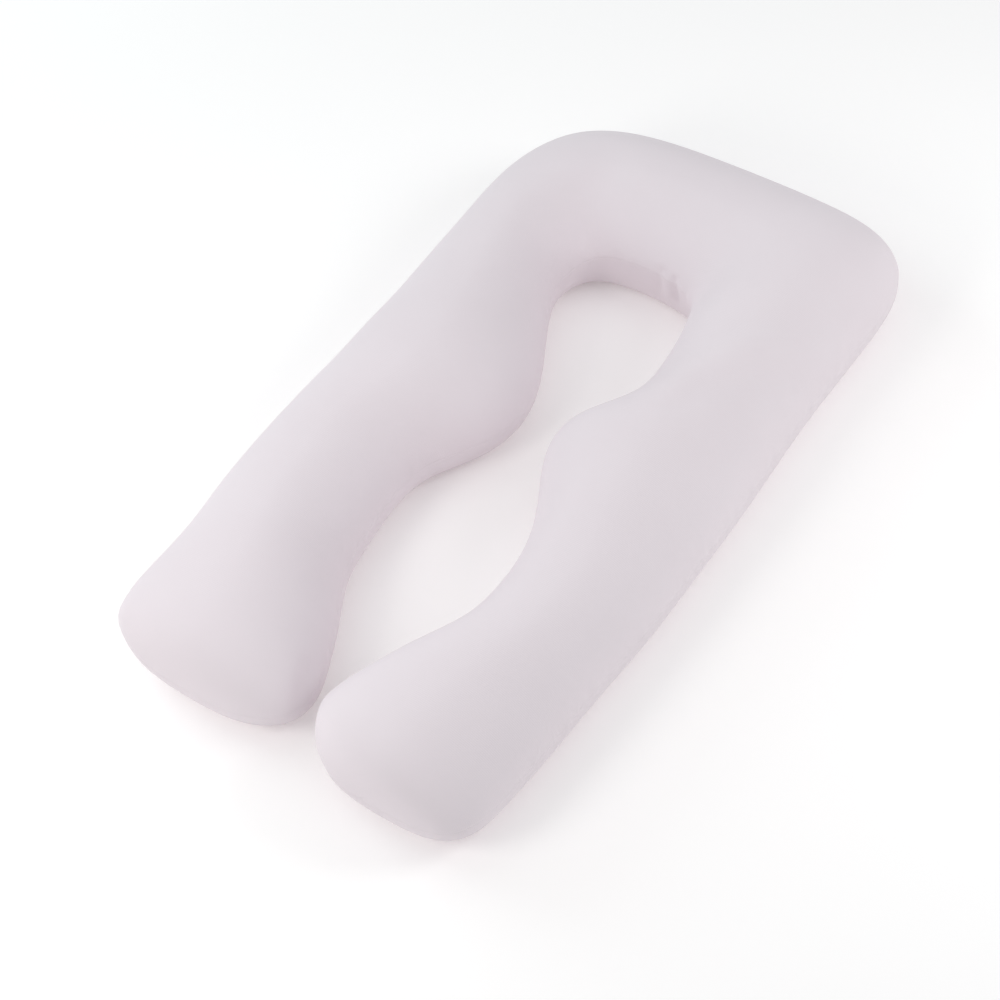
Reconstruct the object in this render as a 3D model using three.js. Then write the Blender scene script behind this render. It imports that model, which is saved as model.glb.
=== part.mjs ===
// A U-shaped pregnancy pillow, lying on its back: one cloth cover, filled tight.
// Millimetres, +Z up. The head is at +Y, and the feet of the two arms are at -Y.
// The cloth is a row of cross-sections that runs up the left arm, round the head and down the
// right arm. Each section has an inner and an outer seam point and the height of its crown.

import * as THREE from 'three';

// Heights and fullness
const SEAM_HEIGHT = 70;        // of the seam that runs round the whole pillow
const SAG_DEPTH = 76;          // how far the filling would hang below the seam without the floor
const TOP_FULLNESS = 2.3;      // 2 is an ellipse, and more is boxier
const BOTTOM_FULLNESS = 2.6;

// The head's sections fan out from two points inside the opening
const FAN_X = 50;
const FAN_Y = 270;

// Places the middle of the whole outline over the origin
const SHIFT_X = 5;
const SHIFT_Y = -4;

// Arm sections at a distance y along the pillow: inner and outer seam, measured from the
// middle, crown height, and how full the inner side is
const ARM_SECTIONS = [
  { y: -470, leftIn: 25, leftOut: 355, rightIn: 45, rightOut: 340, crown: 185, inner: 2.3 },
  { y: -395, leftIn: 60, leftOut: 350, rightIn: 80, rightOut: 345, crown: 185, inner: 2.3 },
  { y: -320, leftIn: 110, leftOut: 360, rightIn: 130, rightOut: 345, crown: 180, inner: 2.3 },
  { y: -245, leftIn: 120, leftOut: 365, rightIn: 135, rightOut: 350, crown: 175, inner: 2.3 },
  { y: -170, leftIn: 130, leftOut: 365, rightIn: 130, rightOut: 355, crown: 175, inner: 2.3 },
  { y: -95, leftIn: 125, leftOut: 360, rightIn: 100, rightOut: 355, crown: 180, inner: 2.3 },
  { y: -20, leftIn: 60, leftOut: 355, rightIn: 50, rightOut: 355, crown: 190, inner: 2.3 },
  { y: 55, leftIn: 40, leftOut: 355, rightIn: 35, rightOut: 355, crown: 195, inner: 2.3 },
  { y: 130, leftIn: 60, leftOut: 350, rightIn: 115, rightOut: 350, crown: 190, inner: 2.3 },
  { y: 205, leftIn: 105, leftOut: 355, rightIn: 115, rightOut: 345, crown: 180, inner: 2.3 },
];

// Head sections along a ray, in degrees above the X axis: inner and outer seam, measured
// from the fan point
const HEAD_SECTIONS = [
  { ray: 10, leftIn: 105, leftOut: 305, rightIn: 55, rightOut: 295, crown: 180, inner: 2.5 },
  { ray: 30, leftIn: 115, leftOut: 350, rightIn: 55, rightOut: 340, crown: 185, inner: 2.8 },
  { ray: 50, leftIn: 125, leftOut: 390, rightIn: 60, rightOut: 455, crown: 190, inner: 3.0 },
  { ray: 70, leftIn: 110, leftOut: 375, rightIn: 90, rightOut: 380, crown: 188, inner: 3.2 },
];
const HEAD_MIDDLE = { inY: 375, outY: 630, crown: 182, inner: 3.2 };

// Rounded feet: length, and how square each corner is
const LEFT_FOOT = { length: 140, inner: 2.2, outer: 3.6 };
const RIGHT_FOOT = { length: 150, inner: 2.0, outer: 4.2 };
const FOOT_TOP_FULLNESS = 3.0;

// Soft creases: the points of the line that each one follows over the cloth, its depth and
// its half width
const CREASES = [
  { place: 'inner corner, middle', line: [[22, 375, 132], [6, 370, 80]], depth: 5, halfWidth: 20 },
  { place: 'inner corner, right', line: [[55, 369, 132], [58, 360, 85]], depth: 6, halfWidth: 20 },
  { place: 'left foot, inner side', line: [[-13, -500, 108], [-7, -530, 92]], depth: 6, halfWidth: 20 },
  {
    place: 'where the right arm leaves the head',
    line: [[225, 140, 188], [243, 205, 182], [262, 235, 178], [308, 277, 159], [345, 330, 110]],
    depth: 5,
    halfWidth: 36,
  },
];

// Fineness of the surface
const POINTS_ROUND = 34;
const STEPS_PER_ARM_SECTION = 3;
const STEPS_PER_HEAD_SECTION = 5;
const RINGS_PER_FOOT = 8;

const COVER = { color: 0xe2d9de, roughness: 0.9, metalness: 0 };

// All sections in order, as rows of numbers:
// inner x and y, outer x and y, crown height, inner fullness
function sectionRows() {
  const fanPoint = (side, ray, distance) => {
    const angle = THREE.MathUtils.degToRad(ray);
    return [side * (FAN_X + distance * Math.cos(angle)), FAN_Y + distance * Math.sin(angle)];
  };
  const armRow = (s, side) => {
    const [inX, outX] = side < 0 ? [s.leftIn, s.leftOut] : [s.rightIn, s.rightOut];
    return [side * inX, s.y, side * outX, s.y, s.crown, s.inner];
  };
  const headRow = (s, side) => {
    const [near, far] = side < 0 ? [s.leftIn, s.leftOut] : [s.rightIn, s.rightOut];
    return [...fanPoint(side, s.ray, near), ...fanPoint(side, s.ray, far), s.crown, s.inner];
  };
  const half = (side) => [
    ...ARM_SECTIONS.map((s) => armRow(s, side)),
    ...HEAD_SECTIONS.map((s) => headRow(s, side)),
  ];
  const middle = [0, HEAD_MIDDLE.inY, 0, HEAD_MIDDLE.outY, HEAD_MIDDLE.crown, HEAD_MIDDLE.inner];
  const rows = [...half(-1), middle, ...half(1).reverse()];
  return rows.map(([ix, iy, ox, oy, crown, inner]) => [
    ix + SHIFT_X, iy + SHIFT_Y, ox + SHIFT_X, oy + SHIFT_Y, crown, inner,
  ]);
}

// A smooth curve near the rows: the uniform cubic B-spline, or its slope. t counts rows.
function blendRows(rows, t, slope = false) {
  const last = rows.length - 1;
  const k = Math.min(Math.floor(t), last - 1);
  const f = t - k;
  const g = 1 - f;
  const weights = slope
    ? [-g * g / 2, (3 * f * f - 4 * f) / 2, (-3 * f * f + 2 * f + 1) / 2, f * f / 2]
    : [g ** 3 / 6, (3 * f ** 3 - 6 * f * f + 4) / 6,
       (-3 * f ** 3 + 3 * f * f + 3 * f + 1) / 6, f ** 3 / 6];
  const mirrored = (end, next) => end.map((value, i) => 2 * value - next[i]);
  const row = (i) => {
    if (i < 0) return mirrored(rows[0], rows[1]);
    if (i > last) return mirrored(rows[last], rows[last - 1]);
    return rows[i];
  };
  const near = [row(k - 1), row(k), row(k + 1), row(k + 2)];
  return rows[0].map((_, i) => near.reduce((sum, values, n) => sum + weights[n] * values[i], 0));
}

// One ring of cloth, from the outer seam over the crown to the inner seam and back underneath.
// Its shape is a superellipse, cut flat where it lies on the floor.
function ring(inner, outer, crown, innerFullness, swell = 1) {
  const middle = inner.clone().add(outer).multiplyScalar(0.5);
  const half = outer.clone().sub(middle);
  const points = [];
  for (let i = 0; i < POINTS_ROUND; i += 1) {
    const turn = (2 * Math.PI * i) / POINTS_ROUND;
    const across = Math.cos(turn);
    const up = Math.sin(turn);
    const side = across < 0 ? innerFullness : TOP_FULLNESS;
    const fullness = up < 0 ? BOTTOM_FULLNESS : side;
    const reach = Math.sign(across) * Math.abs(across) ** (2 / fullness);
    const lift = swell * Math.abs(up) ** (2 / fullness);
    const z = up < 0
      ? Math.max(0, SEAM_HEIGHT - SAG_DEPTH * lift)
      : SEAM_HEIGHT + (crown - SEAM_HEIGHT) * lift;
    const place = middle.clone().addScaledVector(half, reach);
    points.push(new THREE.Vector3(place.x, place.y, z));
  }
  return points;
}

// Rings that close an arm: both seams run on straight and draw together as superellipses
function footRings(rows, t, foot) {
  const [ix, iy, ox, oy, crown, innerFullness] = blendRows(rows, t);
  const [dix, diy, dox, doy] = blendRows(rows, t, true);
  const rings = [];
  let tip;
  for (let i = 1; i <= RINGS_PER_FOOT; i += 1) {
    const angle = (Math.PI / 2) * (i / RINGS_PER_FOOT);
    const spread = (Math.sin(angle) ** 3 + Math.cos(angle) ** 3) ** (1 / 3);
    const along = Math.min(Math.sin(angle) / spread, 1);
    const reach = foot.length * along;
    const inner = new THREE.Vector2(ix - (reach * dix) / diy, iy - reach);
    const outer = new THREE.Vector2(ox - (reach * dox) / doy, oy - reach);
    const middle = inner.clone().add(outer).multiplyScalar(0.5);
    const left = (fullness) => Math.max(1 - along ** fullness, 0) ** (1 / fullness);
    tip = new THREE.Vector3(middle.x, middle.y, SEAM_HEIGHT);
    if (i < RINGS_PER_FOOT) {
      inner.lerpVectors(middle, inner.clone(), left(foot.inner));
      outer.lerpVectors(middle, outer.clone(), left(foot.outer));
      rings.push(ring(inner, outer, crown, innerFullness, left(FOOT_TOP_FULLNESS)));
    }
  }
  return { rings, tip };
}

// How far a point lies from a line of straight stretches
function distanceToLine(p, corners) {
  const nearest = new THREE.Vector3();
  const distances = corners.slice(1).map((corner, i) => {
    const stretch = new THREE.Line3(corners[i], corner);
    return p.distanceTo(stretch.closestPointToPoint(p, true, nearest));
  });
  return Math.min(...distances);
}

// Presses each soft crease into the cloth, towards the middle of its ring. The depth fades
// with the distance from the crease's line.
function pressCreases(points) {
  const core = new THREE.Vector3();
  points.forEach((p) => core.add(p));
  core.divideScalar(points.length);
  core.z = SEAM_HEIGHT;
  for (const crease of CREASES) {
    const corners = crease.line.map((corner) => new THREE.Vector3(...corner));
    for (const p of points.filter(({ z }) => z > 0)) {
      const fade = Math.exp(-((distanceToLine(p, corners) / crease.halfWidth) ** 2));
      const inwards = core.clone().sub(p).normalize();
      p.addScaledVector(inwards, crease.depth * fade);
    }
  }
}

// Joins the rings and the two tips into one closed skin
function closedSkin(firstTip, rings, lastTip) {
  const points = [firstTip, ...rings.flat(), lastTip];
  const at = (k, i) => 1 + k * POINTS_ROUND + (i % POINTS_ROUND);
  const end = points.length - 1;
  const last = rings.length - 1;
  const faces = [];
  for (let i = 0; i < POINTS_ROUND; i += 1) {
    faces.push(0, at(0, i + 1), at(0, i));
    for (let k = 0; k < last; k += 1) {
      faces.push(at(k, i), at(k, i + 1), at(k + 1, i + 1));
      faces.push(at(k, i), at(k + 1, i + 1), at(k + 1, i));
    }
    faces.push(at(last, i), at(last, i + 1), end);
  }
  const skin = new THREE.BufferGeometry().setFromPoints(points);
  skin.setIndex(faces);
  skin.computeVertexNormals();
  return skin;
}

function pillowSkin() {
  const rows = sectionRows();
  const lastRow = rows.length - 1;
  const armRows = ARM_SECTIONS.length - 1;
  const rings = [];
  for (let k = 0; k <= lastRow; k += 1) {
    const inArm = k < armRows || k >= lastRow - armRows;
    const steps = inArm ? STEPS_PER_ARM_SECTION : STEPS_PER_HEAD_SECTION;
    for (let step = 0; step < (k < lastRow ? steps : 1); step += 1) {
      const [ix, iy, ox, oy, crown, inner] = blendRows(rows, k + step / steps);
      rings.push(ring(new THREE.Vector2(ix, iy), new THREE.Vector2(ox, oy), crown, inner));
    }
  }
  const left = footRings(rows, 0, LEFT_FOOT);
  const right = footRings(rows, lastRow, RIGHT_FOOT);
  const all = [...left.rings.reverse(), ...rings, ...right.rings];
  all.forEach(pressCreases);
  return closedSkin(left.tip, all, right.tip);
}

const pillow = new THREE.Mesh(pillowSkin(), new THREE.MeshStandardMaterial(COVER));
pillow.name = 'pillow';

const pregnancyPillow = new THREE.Group();
pregnancyPillow.add(pillow);

export default pregnancyPillow;
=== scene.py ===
import math

import bpy
import numpy as np
from mathutils import Matrix, Vector


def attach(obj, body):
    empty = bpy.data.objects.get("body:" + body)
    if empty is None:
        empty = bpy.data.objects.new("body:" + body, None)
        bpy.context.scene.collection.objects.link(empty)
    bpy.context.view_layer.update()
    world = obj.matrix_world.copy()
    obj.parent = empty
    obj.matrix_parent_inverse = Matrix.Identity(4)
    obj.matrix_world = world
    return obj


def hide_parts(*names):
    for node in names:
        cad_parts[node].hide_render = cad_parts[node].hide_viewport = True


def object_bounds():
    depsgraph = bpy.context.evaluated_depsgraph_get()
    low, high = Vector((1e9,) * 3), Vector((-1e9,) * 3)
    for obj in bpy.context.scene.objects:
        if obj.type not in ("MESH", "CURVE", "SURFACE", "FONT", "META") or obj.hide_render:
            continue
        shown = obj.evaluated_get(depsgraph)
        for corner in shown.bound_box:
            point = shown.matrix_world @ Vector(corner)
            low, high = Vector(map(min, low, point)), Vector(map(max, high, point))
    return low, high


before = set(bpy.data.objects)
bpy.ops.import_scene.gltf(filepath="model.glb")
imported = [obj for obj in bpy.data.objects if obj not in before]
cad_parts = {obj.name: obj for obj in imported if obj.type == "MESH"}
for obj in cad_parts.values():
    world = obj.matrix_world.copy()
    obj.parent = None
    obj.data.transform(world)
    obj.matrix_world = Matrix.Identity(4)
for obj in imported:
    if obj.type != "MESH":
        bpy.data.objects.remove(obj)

# A U-shaped pregnancy pillow in a knitted cover, filled tight and lying on its back on a pale
# floor. Metres, +Z up. The head is at +Y, the feet of the two arms are at -Y, and the right arm
# at +X is the one nearer the camera.

CAD_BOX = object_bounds()

# The section tables repeat the solid's seams and crowns. Arm sections lie at a distance y along
# the pillow, and their seams are measured from its middle.
ARM_SECTIONS = np.array([
    # y, left in, left out, right in, right out, crown
    (-0.470, 0.025, 0.355, 0.045, 0.340, 0.185),
    (-0.395, 0.060, 0.350, 0.080, 0.345, 0.185),
    (-0.320, 0.110, 0.360, 0.130, 0.345, 0.180),
    (-0.245, 0.120, 0.365, 0.135, 0.350, 0.175),
    (-0.170, 0.130, 0.365, 0.130, 0.355, 0.175),
    (-0.095, 0.125, 0.360, 0.100, 0.355, 0.180),
    (-0.020, 0.060, 0.355, 0.050, 0.355, 0.190),
    (0.055, 0.040, 0.355, 0.035, 0.355, 0.195),
    (0.130, 0.060, 0.350, 0.115, 0.350, 0.190),
    (0.205, 0.105, 0.355, 0.115, 0.345, 0.180),
])

# Head sections lie on rays from a fan point on each side, in degrees above the X axis, and
# their seams are measured from that point. The wall share says how upright the cloth stands
# between the inner seam and the floor, from 0 to 1.
FAN_POINT = np.array([0.050, 0.270])
HEAD_SECTIONS = np.array([
    # ray, left in, left out, right in, right out, crown, wall share
    (10, 0.105, 0.305, 0.055, 0.295, 0.180, 0.0),
    (30, 0.115, 0.350, 0.055, 0.340, 0.185, 0.1),
    (50, 0.125, 0.390, 0.060, 0.455, 0.190, 0.4),
    (70, 0.110, 0.375, 0.090, 0.380, 0.188, 1.0),
])
HEAD_MIDDLE = dict(inner_y=0.375, outer_y=0.630, crown=0.182, wall=1.0)

# How full the upper half is towards the inner and the outer seam. 2 is an ellipse, less is
# flatter and more is boxier.
LEFT_FULLNESS = (1.8, 2.3)
RIGHT_FULLNESS = (2.3, 1.9)
HEAD_FULLNESS = (1.5, 2.3)

# Height of the seam, and how far the filling would hang below it without the floor
SEAM_HEIGHT = 0.070
SAG_DEPTH = 0.076
BOTTOM_FULLNESS = 2.6

# Where the inner side is a full wall, the seam is higher, the lower half is boxier, and the seam
# stands back in plan
WALL_RISE = 0.025
WALL_FULLNESS = 5.0
WALL_SETBACK = 0.012

# Rounded feet: length, and how square the corner is on the inner and the outer side
LEFT_FOOT = dict(length=0.140, inner=2.2, outer=3.6)
RIGHT_FOOT = dict(length=0.150, inner=2.0, outer=4.2)
FOOT_TOP_FULLNESS = 3.0

# Soft creases: the line that each one follows over the cloth, depth and half width. A depth
# below zero is a swell.
CREASES = [
    # the head's inner wall, where the cloth turns the two inner corners
    ([(0.010, 0.384, 0.103), (0.003, 0.382, 0.072), (-0.005, 0.381, 0.040)], 0.0030, 0.010),
    ([(0.024, 0.381, 0.095), (0.018, 0.380, 0.055)], -0.0020, 0.008),
    ([(0.039, 0.378, 0.103), (0.041, 0.375, 0.080), (0.039, 0.374, 0.055)], 0.0040, 0.008),
    # the valley on the head's left shoulder
    ([(-0.135, 0.385, 0.130), (-0.142, 0.434, 0.172), (-0.150, 0.490, 0.180)], 0.004, 0.035),
    # the corners of the feet: the left one's inner and outer, and the right one's inner
    ([(-0.017, -0.503, 0.098), (-0.013, -0.533, 0.086)], 0.006, 0.020),
    ([(-0.312, -0.578, 0.128), (-0.322, -0.574, 0.090)], -0.006, 0.024),
    ([(0.036, -0.535, 0.110), (0.032, -0.545, 0.080)], -0.005, 0.028),
    # the fold where the right arm leaves the head: the head swells over the arm
    ([(0.199, 0.154, 0.183), (0.208, 0.195, 0.180), (0.224, 0.224, 0.176), (0.242, 0.251, 0.172),
      (0.282, 0.298, 0.152), (0.302, 0.319, 0.132), (0.325, 0.364, 0.100)], -0.008, 0.037),
    ([(0.232, 0.124, 0.182), (0.241, 0.165, 0.178), (0.257, 0.194, 0.172), (0.275, 0.221, 0.163),
      (0.315, 0.268, 0.135)], 0.004, 0.027),
]

# How softly the cloth leaves the floor beside the flat patch that it lies on
FLOOR_SOFTNESS = 0.003

# The sewn seam round the widest line, and the small gathers beside it
SEAM_GROOVE_DEPTH = 0.0006
SEAM_GROOVE_HALF_WIDTH = 0.0012
GATHER_DEPTH = 0.0003
GATHER_REACH = 0.016
GATHER_LENGTHS = (0.023, 0.037, 0.061)
GATHER_OFFSET = 0.4       # so that the inner seam's gathers differ from the outer one's

# Fineness of the surface
POINTS_ROUND = 176
STEPS_PER_ARM_SECTION = 14
STEPS_PER_HEAD_SECTION = 26
RINGS_PER_FOOT = 26
SEAM_CROWDING = 0.80      # how closely the points crowd at the seams, from 0 to 1

# The camera, found from the pillow's outline in the photograph
CAMERA_AZIMUTH = 48.14
CAMERA_ELEVATION = 52.09
CAMERA_ROLL = -15.1
CAMERA_TARGET = (0.0397, -0.1077, 0.090)
CAMERA_DISTANCE = 3.793
CAMERA_LENS_MM = 90.0
CAMERA_SENSOR_MM = 36.0
CAMERA_REACH = 100.0      # how far it sees

# The cover's knit. Real wales are about 0.9 mm apart, real courses 0.7 mm, and the tufts of the
# nap are half a millimetre wide, too fine to show: all are drawn about four times as coarse.
KNIT_WALE = 0.0036
KNIT_COURSE = 0.0028
NAP_TUFT = 0.0022
KNIT_RELIEF = 0.0001
STITCH_LOW = 0.4          # height of the valley between two courses, as a share of the stitch's
NAP_HEIGHT = 0.5          # height of the nap, as a share of the stitch's

# When the panels are spread flat beside the opening's corners, the inner wall's length takes at
# most this share of the way to the corner
INNER_WALL_SHARE = 0.6

# The yarn's two tones, and the width of the clouds in which they mix
YARN_LIGHT = "E6DDE2"
YARN_DARK = "E0D6DB"
CLOUD_WIDTH = 0.2

FLOOR_RADIUS = 30.0
FLOOR_EDGES = 96
FLOOR_DROP = 0.0003
FLOOR_COLOUR = "F6F5F5"
FLOOR_GLOW = 0.13         # light that the sheet gives off itself
FLOOR_GLOW_COLOUR = "FFF1F1"

# The light: a pale studio all round, and soft round lamps that face the middle of the pillow
WORLD_COLOUR = "FAFEFF"
WORLD_STRENGTH = 0.62
LIGHT_TARGET = Vector((0, 0, 0.1))
LIGHTS = [
    # name, place, width, watts, colour
    ("left_window", (-3.6, 0.0, 1.8), 2.5, 39.5, "F1FFFE"),
    ("right_lamp", (1.6, 0.8, 1.4), 0.9, 11.3, "FFFFFE"),
    ("foot_lamp", (-0.6, -1.6, 1.4), 0.9, 8.7, "FFFBF7"),
    ("overhead_lamp", (-0.6, -0.4, 1.4), 0.9, 1.7, "FFFAFE"),
]


def srgb(code):
    """A hex colour as linear red, green, blue and alpha."""
    value = np.array([int(code[i:i + 2], 16) / 255 for i in (0, 2, 4)])
    linear = np.where(value <= 0.04045, value / 12.92, ((value + 0.055) / 1.055) ** 2.4)
    return (*linear, 1.0)


def section_rows():
    """All sections in order from the left foot round the head to the right foot, as an array
    with the columns inner x, inner y, outer x, outer y, crown, inner fullness, outer fullness,
    wall share. With the wall share the fullness turns from the arm's to the head's, and the
    inner seam moves towards the outer one by the setback."""
    y, left_in, left_out, right_in, right_out, crown = ARM_SECTIONS.T
    ray, left_near, left_far, right_near, right_far, head_crown, wall = HEAD_SECTIONS.T
    along_x, along_y = np.cos(np.radians(ray)), np.sin(np.radians(ray))
    fan_x, fan_y = FAN_POINT

    def arm(side, inner, outer, fullness):
        full = np.tile(fullness, (len(y), 1))
        return np.column_stack([side * inner, y, side * outer, y, crown, full, 0 * y])

    def head(side, near, far, fullness):
        points = [(side * (fan_x + r * along_x), fan_y + r * along_y) for r in (near, far)]
        full = np.array(fullness) + np.outer(wall, np.subtract(HEAD_FULLNESS, fullness))
        return np.column_stack([*points[0], *points[1], head_crown, full, wall])

    middle = (0, HEAD_MIDDLE["inner_y"], 0, HEAD_MIDDLE["outer_y"], HEAD_MIDDLE["crown"],
              *HEAD_FULLNESS, HEAD_MIDDLE["wall"])
    rows = np.vstack([
        arm(-1, left_in, left_out, LEFT_FULLNESS), head(-1, left_near, left_far, LEFT_FULLNESS),
        middle,
        head(1, right_near, right_far, RIGHT_FULLNESS)[::-1],
        arm(1, right_in, right_out, RIGHT_FULLNESS)[::-1],
    ])
    across = rows[:, 2:4] - rows[:, 0:2]
    across /= np.linalg.norm(across, axis=1, keepdims=True)
    rows[:, 0:2] += WALL_SETBACK * rows[:, 7:] * across
    return rows


def blend_rows(rows, t, slope=False):
    """The uniform cubic B-spline near the rows, or its slope, at every t. t counts rows, and
    past each end the rows are mirrored."""
    padded = np.vstack([2 * rows[0] - rows[1], rows, 2 * rows[-1] - rows[-2]])
    k = np.clip(np.floor(t).astype(int), 0, len(rows) - 2)
    f = (t - k)[:, None]
    a, b, c, d = (padded[k + i] for i in range(4))
    if slope:
        return (-(1 - f) ** 2 * a + (3 * f * f - 4 * f) * b
                + (-3 * f * f + 2 * f + 1) * c + f * f * d) / 2
    return ((1 - f) ** 3 * a + (3 * f ** 3 - 6 * f * f + 4) * b
            + (-3 * f ** 3 + 3 * f * f + 3 * f + 1) * c + f ** 3 * d) / 6


def superellipse(angle, fullness):
    """The point of |x|^n + |y|^n = 1 at a polar angle, as x and y, where n is the fullness."""
    x, y = np.cos(angle), np.sin(angle)
    size = (np.abs(x) ** fullness + np.abs(y) ** fullness) ** (1 / fullness)
    return x / size, y / size


def press_on_floor(z):
    """Heights cut off flat at the floor, with a short parabola where the cloth leaves it."""
    soft = (z + FLOOR_SOFTNESS) ** 2 / (4 * FLOOR_SOFTNESS)
    return np.where(z > FLOOR_SOFTNESS, z, np.where(z > -FLOOR_SOFTNESS, soft, 0))


def ring_turns():
    """The polar angle of every point of a ring: even steps, with a sine added that crowds the
    points at the two seams."""
    t = np.arange(POINTS_ROUND) / POINTS_ROUND
    return 2 * np.pi * t - SEAM_CROWDING / 2 * np.sin(4 * np.pi * t)


def rings_of_cloth(sections, swell):
    """One ring for each section, from the outer seam over the crown to the inner seam and back
    underneath. In plan a point lies at the ring's middle plus the superellipse's x times half the
    width. Its height is the seam's plus the superellipse's y times the rise of the crown, or
    minus its y times the sag, pressed flat on the floor. Where the inner side is a wall, the seam
    is higher and the lower half boxier, by the wall share."""
    inner, outer, crown = sections[:, 0:2], sections[:, 2:4], sections[:, 4:5]
    turn = ring_turns()
    is_inner, is_below = np.cos(turn) < 0, np.sin(turn) < 0
    wall = np.where(is_inner, sections[:, 7:8], 0)
    upper = np.where(is_inner, sections[:, 5:6], sections[:, 6:7])
    lower = BOTTOM_FULLNESS + (WALL_FULLNESS - BOTTOM_FULLNESS) * wall
    reach, lift = superellipse(turn, np.where(is_below, lower, upper))
    middle, half = (inner + outer) / 2, (outer - inner) / 2
    plan = middle[:, None] + half[:, None] * reach[..., None]
    lift = lift * swell[:, None]
    seam = SEAM_HEIGHT + WALL_RISE * wall
    sag = SAG_DEPTH + WALL_RISE * wall
    z = np.where(is_below, press_on_floor(seam + sag * lift), seam + (crown - seam) * lift)
    return np.concatenate([plan, z[..., None]], axis=2)


def foot(rows, t, shape):
    """The rings that close an arm past the row at t, and the tip. Both seams run straight on
    while the width left to each of them and the swell fall to nothing as superellipses."""
    last = blend_rows(rows, np.array([t]))
    inner_x, inner_y, outer_x, outer_y = last[0, :4]
    inner_dx, inner_dy, outer_dx, outer_dy = blend_rows(rows, np.array([t]), slope=True)[0, :4]
    quarter = np.radians(90) * np.arange(1, RINGS_PER_FOOT + 1) / RINGS_PER_FOOT
    along = superellipse(quarter, FOOT_TOP_FULLNESS)[1]
    reach = shape["length"] * along
    inner = np.column_stack([inner_x - reach * inner_dx / inner_dy, inner_y - reach])
    outer = np.column_stack([outer_x - reach * outer_dx / outer_dy, outer_y - reach])
    middle = (inner + outer) / 2

    def share_left(n):
        return np.maximum(1 - along ** n, 0) ** (1 / n)

    inner = middle + (inner - middle) * share_left(shape["inner"])[:, None]
    outer = middle + (outer - middle) * share_left(shape["outer"])[:, None]
    rest = np.repeat(last[:, 4:], RINGS_PER_FOOT, axis=0)
    rings = rings_of_cloth(np.hstack([inner, outer, rest]), share_left(FOOT_TOP_FULLNESS))
    return rings[:-1], np.array([*middle[-1], SEAM_HEIGHT])


def distance_to_line(points, corners):
    """How far each point lies from a line of straight stretches: the least over the stretches
    of the distance to the nearest place on one."""
    corners = np.array(corners)
    nearest = np.full(points.shape[:-1], np.inf)
    for a, b in zip(corners[:-1], corners[1:]):
        share = np.clip((points - a) @ (b - a) / ((b - a) @ (b - a)), 0, 1)
        nearest = np.minimum(nearest, np.linalg.norm(points - a - share[..., None] * (b - a), axis=-1))
    return nearest


def press_creases(rings):
    """Moves the cloth towards the middle of its ring, at the height of the seam, by the crease's
    depth times exp(-(distance / half width)^2)."""
    core = rings.mean(axis=1, keepdims=True)
    core[..., 2] = SEAM_HEIGHT
    inwards = core - rings
    inwards /= np.linalg.norm(inwards, axis=2, keepdims=True)
    for corners, depth, half_width in CREASES:
        fade = np.exp(-(distance_to_line(rings, corners) / half_width) ** 2)
        fade[rings[..., 2] <= 0] = 0
        rings = rings + inwards * (depth * fade)[..., None]
    return rings


def outward(rings):
    """The unit normals of the rings: the cross product of the steps round a ring and from ring
    to ring."""
    around = np.roll(rings, -1, axis=1) - np.roll(rings, 1, axis=1)
    along = np.gradient(rings, axis=0)
    normal = np.cross(around, along)
    return normal / np.maximum(np.linalg.norm(normal, axis=2, keepdims=True), 1e-12)


def seam_lengths(rings):
    """The distance along the pillow at every point, measured along its own seam: the outer one
    for the outer half of a ring, and the inner one for the rest."""
    half = POINTS_ROUND // 2
    steps = np.linalg.norm(np.diff(rings[:, [0, half]], axis=0), axis=2)
    lengths = np.vstack([np.zeros(2), np.cumsum(steps, axis=0)])
    is_outer = np.cos(ring_turns()) > 0
    return np.where(is_outer, lengths[:, :1], lengths[:, 1:] + GATHER_OFFSET)


def above_seam(rings):
    """How high every point lies above the seam of its own side."""
    inner_seam = rings[:, POINTS_ROUND // 2, 2:]
    return rings[..., 2] - np.where(np.cos(ring_turns()) > 0, rings[:, 0, 2:], inner_seam)


def sew_seam(rings):
    """Draws the cloth in along its normal: a narrow groove at the seam, and gathers beside it,
    which are sines of the distance along the seam that die away above and below it."""
    height = above_seam(rings)
    groove = SEAM_GROOVE_DEPTH * np.exp(-(height / SEAM_GROOVE_HALF_WIDTH) ** 2)
    place = seam_lengths(rings)
    waves = sum(np.sin(2 * np.pi * place / length) for length in GATHER_LENGTHS)
    gathers = GATHER_DEPTH * waves * np.exp(-(height / GATHER_REACH) ** 2)
    return rings - outward(rings) * (groove + gathers)[..., None]


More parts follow.
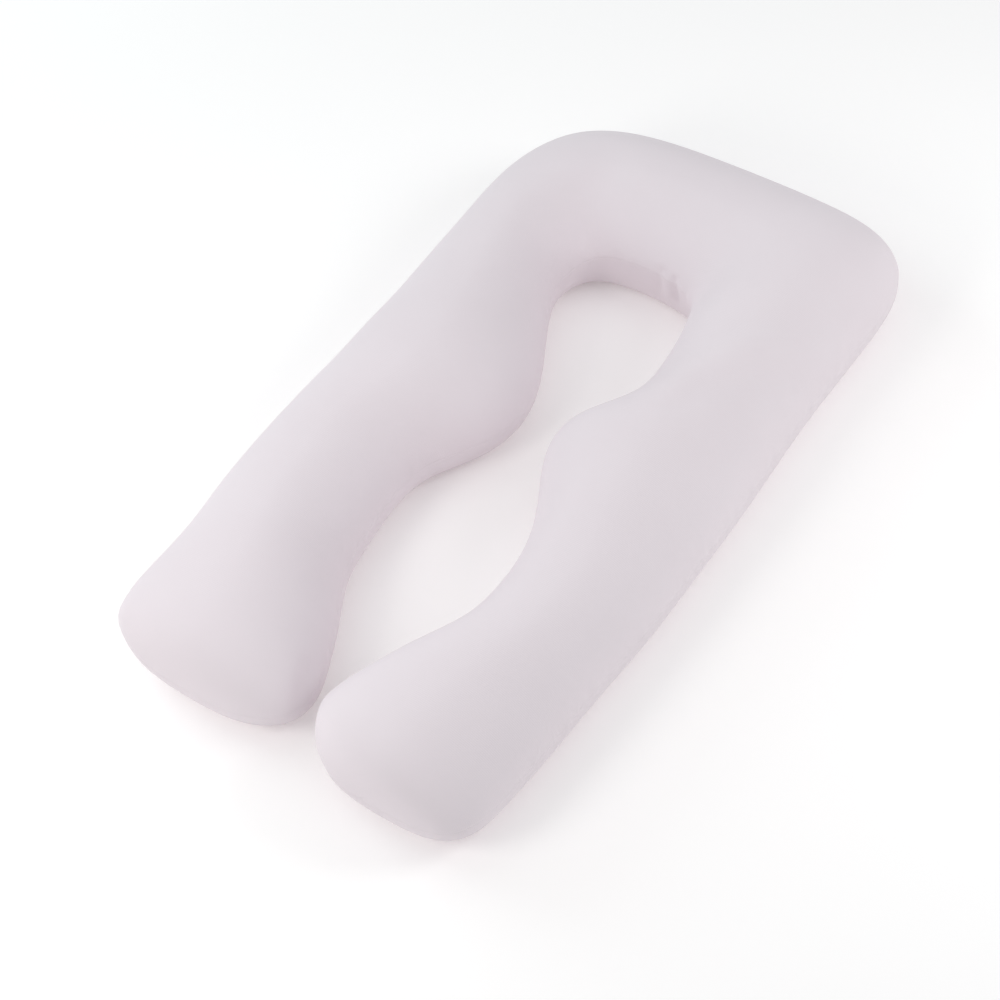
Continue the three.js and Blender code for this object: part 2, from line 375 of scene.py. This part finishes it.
def flat_panel(rings, columns, side):
    """Where each point of one panel lies when the panel is spread flat, in metres: the ring's
    middle in plan, plus the distance over the cloth from there, across. Each foot's middle goes on
    by what the crown's line is longer than its plan. Beside the opening's corners the inner wall is
    shortened to the room there."""
    cloth = rings[:, columns]
    outer, inner = rings[:, 0, :2], rings[:, POINTS_ROUND // 2, :2]
    middle = (outer + inner) / 2
    across = (outer - inner) / np.linalg.norm(outer - inner, axis=1, keepdims=True)

    crown = np.diff(rings[:, POINTS_ROUND // 4], axis=0)
    longer = np.linalg.norm(crown, axis=1) - np.linalg.norm(crown[:, :2], axis=1)
    drop = np.append(0, np.cumsum(longer))
    middle[:, 1] -= np.abs(drop - drop[len(drop) // 2])

    arc = np.cumsum(np.linalg.norm(np.diff(cloth, axis=1), axis=2), axis=1)
    arc = np.hstack([np.zeros((len(rings), 1)), arc])
    over = side * (arc[:, [arc.shape[1] // 2]] - arc)
    plan = np.einsum("kic,kc->ki", cloth[..., :2] - ((outer + inner) / 2)[:, None], across)
    extra = over - plan
    fans = np.array([FAN_POINT, FAN_POINT * (-1, 1)])
    room = np.linalg.norm(inner[:, None] - fans, axis=2).min(axis=1)
    most = np.maximum(-extra.min(axis=1), 1e-6)
    shorten = np.minimum(1, INNER_WALL_SHARE * room / most)[:, None]
    over = plan + np.where(extra < 0, extra * shorten, extra)
    return middle[:, None] + across[:, None] * over[..., None]


def pillow_rings():
    """All rings of the pillow from the left foot's tip to the right one's, and the two tips,
    placed over the middle of the solid's box."""
    rows = section_rows()
    last = len(rows) - 1
    arm_spans = len(ARM_SECTIONS) - 1
    head_spans = last - 2 * arm_spans
    t = np.concatenate([
        np.linspace(0, arm_spans, arm_spans * STEPS_PER_ARM_SECTION, endpoint=False),
        np.linspace(arm_spans, last - arm_spans, head_spans * STEPS_PER_HEAD_SECTION, endpoint=False),
        np.linspace(last - arm_spans, last, arm_spans * STEPS_PER_ARM_SECTION + 1),
    ])
    body = rings_of_cloth(blend_rows(rows, t), np.ones(len(t)))
    left, left_tip = foot(rows, 0, LEFT_FOOT)
    right, right_tip = foot(rows, last, RIGHT_FOOT)
    rings = np.concatenate([left[::-1], body, right])
    plan = rings[..., :2].reshape(-1, 2)
    solid = np.array([corner[:2] for corner in CAD_BOX])
    shift = np.append(solid.mean(axis=0) - (plan.min(axis=0) + plan.max(axis=0)) / 2, 0)
    return rings + shift, left_tip + shift, right_tip + shift


def closed_mesh(name, rings, left_tip, right_tip):
    """A closed skin over the rings, with a fan at each tip. Its UV map, in metres, is the cloth's
    own: the top panel over the upper half of every ring, and the bottom one over the rest."""
    count = len(rings)
    half = POINTS_ROUND // 2
    points = np.vstack([left_tip, rings.reshape(-1, 3), right_tip])
    k, i = np.meshgrid(np.arange(count - 1), np.arange(POINTS_ROUND), indexing="ij")
    after = (i + 1) % POINTS_ROUND

    def number(ring, point):
        return 1 + ring * POINTS_ROUND + point

    quads = np.stack([number(k, i), number(k, after), number(k + 1, after), number(k + 1, i)], 2)
    quads = quads.reshape(-1, 4)
    i = np.arange(POINTS_ROUND)
    after = (i + 1) % POINTS_ROUND
    end = len(points) - 1
    left_fan = np.column_stack([np.zeros_like(i), number(0, after), number(0, i)])
    right_fan = np.column_stack([number(count - 1, i), number(count - 1, after), np.full_like(i, end)])

    top = flat_panel(rings, np.arange(half + 1), 1)
    bottom = flat_panel(rings, np.arange(half, POINTS_ROUND + 1) % POINTS_ROUND, -1)
    here = np.concatenate([top[:, :-1], bottom[:, :-1]], axis=1)
    next_one = np.concatenate([top[:, 1:], bottom[:, 1:]], axis=1)
    quad_uv = np.stack([here[:-1], next_one[:-1], next_one[1:], here[1:]], axis=2).reshape(-1, 2)
    left_uv = np.stack([np.broadcast_to(top[0, half // 2], here[0].shape), next_one[0], here[0]], 1)
    right_uv = np.stack([here[-1], next_one[-1], np.broadcast_to(top[-1, half // 2], here[0].shape)], 1)

    mesh = bpy.data.meshes.new(name)
    mesh.from_pydata(points, [], quads.tolist() + left_fan.tolist() + right_fan.tolist())
    mesh.shade_smooth()
    uv = np.concatenate([quad_uv, left_uv.reshape(-1, 2), right_uv.reshape(-1, 2)])
    mesh.uv_layers.new(name="cloth").data.foreach_set("uv", uv.astype(np.float32).ravel())
    return mesh


def add(tree, kind, inputs=None, **settings):
    """Adds a node, with its settings, and a value or a link for each named input."""
    node = tree.nodes.new(kind)
    for name, value in settings.items():
        setattr(node, name, value)
    for key, value in (inputs or {}).items():
        if isinstance(value, bpy.types.NodeSocket):
            tree.links.new(value, node.inputs[key])
        else:
            node.inputs[key].default_value = value
    return node


def new_material(name):
    """An empty material, and its node tree."""
    material = bpy.data.materials.new(name)
    material.use_nodes = True
    material.node_tree.nodes.clear()
    return material, material.node_tree


def knit_height(tree):
    """The relief of plain jersey, from 0 to 1: each wale is two slanting legs, round across as a
    sine, times the courses, a sine along the legs whose phase slants with them."""
    def math_node(operation, a, b=0.0):
        return add(tree, "ShaderNodeMath", {0: a, 1: b}, operation=operation).outputs[0]

    cloth = add(tree, "ShaderNodeUVMap", uv_map="cloth").outputs["UV"]
    place = add(tree, "ShaderNodeSeparateXYZ", {"Vector": cloth})
    wale = math_node("DIVIDE", place.outputs["X"], KNIT_WALE)
    course = math_node("DIVIDE", place.outputs["Y"], KNIT_COURSE)
    leg = math_node("ABSOLUTE", math_node("SINE", math_node("MULTIPLY", wale, 2 * math.pi)))
    slanted = math_node("ADD", course, math_node("PINGPONG", wale, 0.5))
    stitch = math_node("SINE", math_node("MULTIPLY", slanted, 2 * math.pi))
    rounded = add(tree, "ShaderNodeMapRange", {"Value": stitch, "From Min": -1, "To Min": STITCH_LOW})
    return math_node("MULTIPLY", leg, rounded.outputs["Result"])


def jersey_material():
    """Brushed cotton jersey, knitted in fine plain stitches from pale pink-grey yarn. The eye
    gets a matt, even colour with a faint grain, and a soft bloom where the nap catches the light."""
    material, tree = new_material("brushed_cotton_jersey")
    place = add(tree, "ShaderNodeTexCoord").outputs["Object"]
    cloudy = add(tree, "ShaderNodeTexNoise", {"Vector": place, "Scale": 1 / CLOUD_WIDTH, "Detail": 3.0})
    nap = add(tree, "ShaderNodeTexNoise", {"Vector": place, "Scale": 1 / NAP_TUFT, "Detail": 2.0})
    yarn = add(tree, "ShaderNodeMix", {"Factor": cloudy.outputs["Fac"], "A": srgb(YARN_DARK),
                                       "B": srgb(YARN_LIGHT)}, data_type="RGBA")
    height = add(tree, "ShaderNodeMath", {0: nap.outputs["Fac"], 1: NAP_HEIGHT, 2: knit_height(tree)},
                 operation="MULTIPLY_ADD").outputs[0]
    bump = add(tree, "ShaderNodeBump", {"Height": height, "Distance": KNIT_RELIEF, "Strength": 1.0})
    shader = add(tree, "ShaderNodeBsdfPrincipled", {
        "Base Color": yarn.outputs["Result"], "Roughness": 0.9, "IOR": 1.45,
        "Specular IOR Level": 0.2, "Sheen Weight": 0.15, "Sheen Roughness": 0.5,
        "Normal": bump.outputs["Normal"],
    })
    add(tree, "ShaderNodeOutputMaterial", {"Surface": shader.outputs["BSDF"]})
    return material


def floor_material():
    """Opal white acrylic, cast in one smooth sheet and faintly lit from below, as a table for
    product pictures is: the eye gets one pale tone with soft, light shadows."""
    material, tree = new_material("opal_acrylic")
    shader = add(tree, "ShaderNodeBsdfPrincipled", {
        "Base Color": srgb(FLOOR_COLOUR), "Roughness": 1.0, "Specular IOR Level": 0.0,
        "Emission Color": srgb(FLOOR_GLOW_COLOUR), "Emission Strength": FLOOR_GLOW,
    })
    add(tree, "ShaderNodeOutputMaterial", {"Surface": shader.outputs["BSDF"]})
    return material


def link(name, data):
    """A new object in the scene that shows the data."""
    piece = bpy.data.objects.new(name, data)
    bpy.context.scene.collection.objects.link(piece)
    return piece


def make_pillow():
    """The filled cover, creased and sewn, in place of the plain solid."""
    rings, left_tip, right_tip = pillow_rings()
    rings = sew_seam(press_creases(rings))
    pillow = link("pillow_cover", closed_mesh("pillow_cover", rings, left_tip, right_tip))
    pillow.data.materials.append(jersey_material())
    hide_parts("pillow")
    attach(pillow, "root")


def make_floor():
    """A round floor just under the pillow, as one flat face."""
    angle = np.linspace(0, 2 * np.pi, FLOOR_EDGES, endpoint=False)
    rim = np.column_stack([np.cos(angle) * FLOOR_RADIUS, np.sin(angle) * FLOOR_RADIUS,
                           np.full_like(angle, -FLOOR_DROP)])
    mesh = bpy.data.meshes.new("floor")
    mesh.from_pydata(rim, [], [range(len(rim))])
    floor = link("floor", mesh)
    mesh.materials.append(floor_material())


def back_from(azimuth, elevation):
    """The unit vector towards a viewer, where azimuth 0 looks along +Y."""
    a, e = math.radians(azimuth), math.radians(elevation)
    return Vector((math.sin(a) * math.cos(e), -math.cos(a) * math.cos(e), math.sin(e)))


def look_along(back, roll=0.0):
    """The turn that looks against back with +Z upright, then rolled, in degrees."""
    return back.to_track_quat("Z", "Y") @ Matrix.Rotation(math.radians(roll), 3, "Z").to_quaternion()


def make_camera():
    """The camera at its distance from the target, rolled as the photograph is."""
    data = bpy.data.cameras.new("camera")
    data.lens = CAMERA_LENS_MM
    data.sensor_width = CAMERA_SENSOR_MM
    data.clip_end = CAMERA_REACH
    camera = link("camera", data)
    back = back_from(CAMERA_AZIMUTH, CAMERA_ELEVATION)
    camera.rotation_mode = "QUATERNION"
    camera.rotation_quaternion = look_along(back, CAMERA_ROLL)
    camera.location = Vector(CAMERA_TARGET) + back * CAMERA_DISTANCE
    bpy.context.scene.camera = camera


def make_lights():
    """The pale studio as the world's colour, and one soft lamp for each row of the table."""
    scene = bpy.context.scene
    scene.world = bpy.data.worlds.new("studio")
    scene.world.use_nodes = True
    tree = scene.world.node_tree
    tree.nodes.clear()
    sky = add(tree, "ShaderNodeBackground", {"Color": srgb(WORLD_COLOUR), "Strength": WORLD_STRENGTH})
    add(tree, "ShaderNodeOutputWorld", {"Surface": sky.outputs["Background"]})
    for name, place, width, watts, colour in LIGHTS:
        data = bpy.data.lights.new(name, "AREA")
        data.shape = "DISK"
        data.size = width
        data.energy = watts
        data.color = srgb(colour)[:3]
        lamp = link(name, data)
        lamp.rotation_mode = "QUATERNION"
        lamp.rotation_quaternion = look_along(Vector(place) - LIGHT_TARGET)
        lamp.location = place
    scene.view_settings.view_transform = "Standard"


make_camera()
make_lights()
make_floor()
make_pillow()
